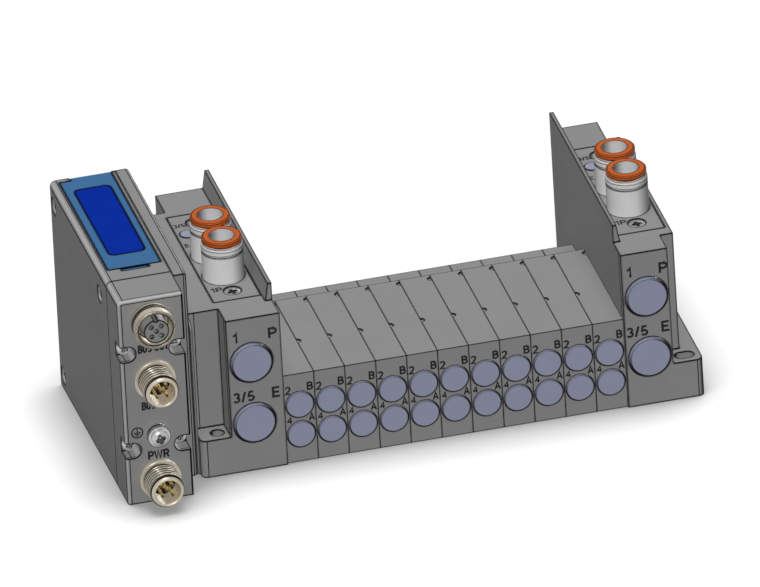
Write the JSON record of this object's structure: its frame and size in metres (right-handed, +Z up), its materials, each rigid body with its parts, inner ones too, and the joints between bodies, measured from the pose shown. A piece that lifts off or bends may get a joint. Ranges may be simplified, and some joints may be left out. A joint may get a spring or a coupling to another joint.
{
  "type": "pneumatic valve island base",
  "caption": "Manifold base of a pneumatic valve island: a row of ported stations between two end blocks with push-in fittings, and a fieldbus unit with round connectors.",
  "frame": {"origin": "middle of the four mounting holes, on the underside", "axes": "+X along the row towards the plain end block, +Y to the back, +Z up"},
  "size_m": [0.1981, 0.1129, 0.0756],
  "materials": {
    "block_grey": "matte",
    "plug_blue_grey": "matte",
    "fitting_light": "satin",
    "release_orange": "satin",
    "cover_blue": "satin",
    "window_blue": "gloss",
    "connector_nickel": "satin",
    "contact_gold": "satin",
    "screw_steel": "satin",
    "spring_steel": "satin",
    "seal_rubber": "matte",
    "insulator_black": "matte",
    "insert_grey": "matte",
    "board_green": "satin",
    "switch_black": "matte",
    "rotor_white": "matte",
    "lamp_clear": "gloss"
  },
  "bodies": {
    "base": {"station_block_01": "block_grey", "station_block_02": "block_grey", "station_block_03": "block_grey", "station_block_04": "block_grey", "station_block_05": "block_grey", "station_block_06": "block_grey", "station_block_07": "block_grey", "station_block_08": "block_grey", "station_block_09": "block_grey", "station_block_10": "block_grey", "station_block_11": "block_grey", "end_block_left": "block_grey", "end_block_right": "block_grey", "fitting_plates": "block_grey", "joint_plate": "block_grey", "unit_adapter": "block_grey", "unit_case": "block_grey", "switch_tray": "block_grey", "unit_front_cover": "block_grey", "port_plugs": "plug_blue_grey", "end_port_plugs": "plug_blue_grey", "pilot_plugs": "plug_blue_grey", "plug_clips": "spring_steel", "tube_collets": "spring_steel", "block_gaskets": "seal_rubber", "fitting_gaskets": "seal_rubber", "tube_seals": "seal_rubber", "station_link_boards": "board_green", "main_board": "board_green", "switch_board": "board_green", "connector_board": "board_green", "tie_rods": "screw_steel", "tie_rod_nuts": "screw_steel", "plate_screws": "screw_steel", "cover_screws": "screw_steel", "case_screws": "screw_steel", "earth_screw": "screw_steel", "earth_washers": "screw_steel", "fitting_body_supply_left": "fitting_light", "fitting_body_exhaust_left": "fitting_light", "fitting_body_supply_right": "fitting_light", "fitting_body_exhaust_right": "fitting_light", "board_headers": "insulator_black", "link_plug": "insulator_black", "pin_inserts": "insulator_black", "socket_insert": "insert_grey", "address_switches": "switch_black", "status_lamps": "lamp_clear", "socket_shell": "connector_nickel", "pin_shells": "connector_nickel", "connector_nuts": "connector_nickel", "connector_pins": "contact_gold"},
    "release_ring_supply_left": {"release_ring_supply_left": "release_orange"},
    "release_ring_exhaust_left": {"release_ring_exhaust_left": "release_orange"},
    "release_ring_supply_right": {"release_ring_supply_right": "release_orange"},
    "release_ring_exhaust_right": {"release_ring_exhaust_right": "release_orange"},
    "display_cover": {"display_cover": "cover_blue", "display_window": "window_blue"},
    "switch_rotor_tens": {"switch_rotor_tens": "rotor_white"},
    "switch_rotor_units": {"switch_rotor_units": "rotor_white"}
  },
  "joints": [
    {"name": "press_ring_supply_left", "type": "slide", "parent": "base", "child": "release_ring_supply_left", "axis": [0, 0, -1], "range_m": [0, 0.0007], "stiffness_N_per_m": 1500},
    {"name": "press_ring_exhaust_left", "type": "slide", "parent": "base", "child": "release_ring_exhaust_left", "axis": [0, 0, -1], "range_m": [0, 0.0007], "stiffness_N_per_m": 1500},
    {"name": "press_ring_supply_right", "type": "slide", "parent": "base", "child": "release_ring_supply_right", "axis": [0, 0, -1], "range_m": [0, 0.0007], "stiffness_N_per_m": 1500},
    {"name": "press_ring_exhaust_right", "type": "slide", "parent": "base", "child": "release_ring_exhaust_right", "axis": [0, 0, -1], "range_m": [0, 0.0007], "stiffness_N_per_m": 1500},
    {"name": "open_display_cover", "type": "hinge", "parent": "base", "child": "display_cover", "pos_m": [-0.10182, 0.03263, 0.07493], "axis": [-1, 0, 0], "range_deg": [0, 95]},
    {"name": "turn_switch_tens", "type": "hinge", "parent": "base", "child": "switch_rotor_tens", "pos_m": [-0.10247, -0.0099, 0.0668], "axis": [0, 0, 1], "continuous": true},
    {"name": "turn_switch_units", "type": "hinge", "parent": "base", "child": "switch_rotor_units", "pos_m": [-0.10247, 0.0002, 0.0668], "axis": [0, 0, 1], "continuous": true}
  ]
}
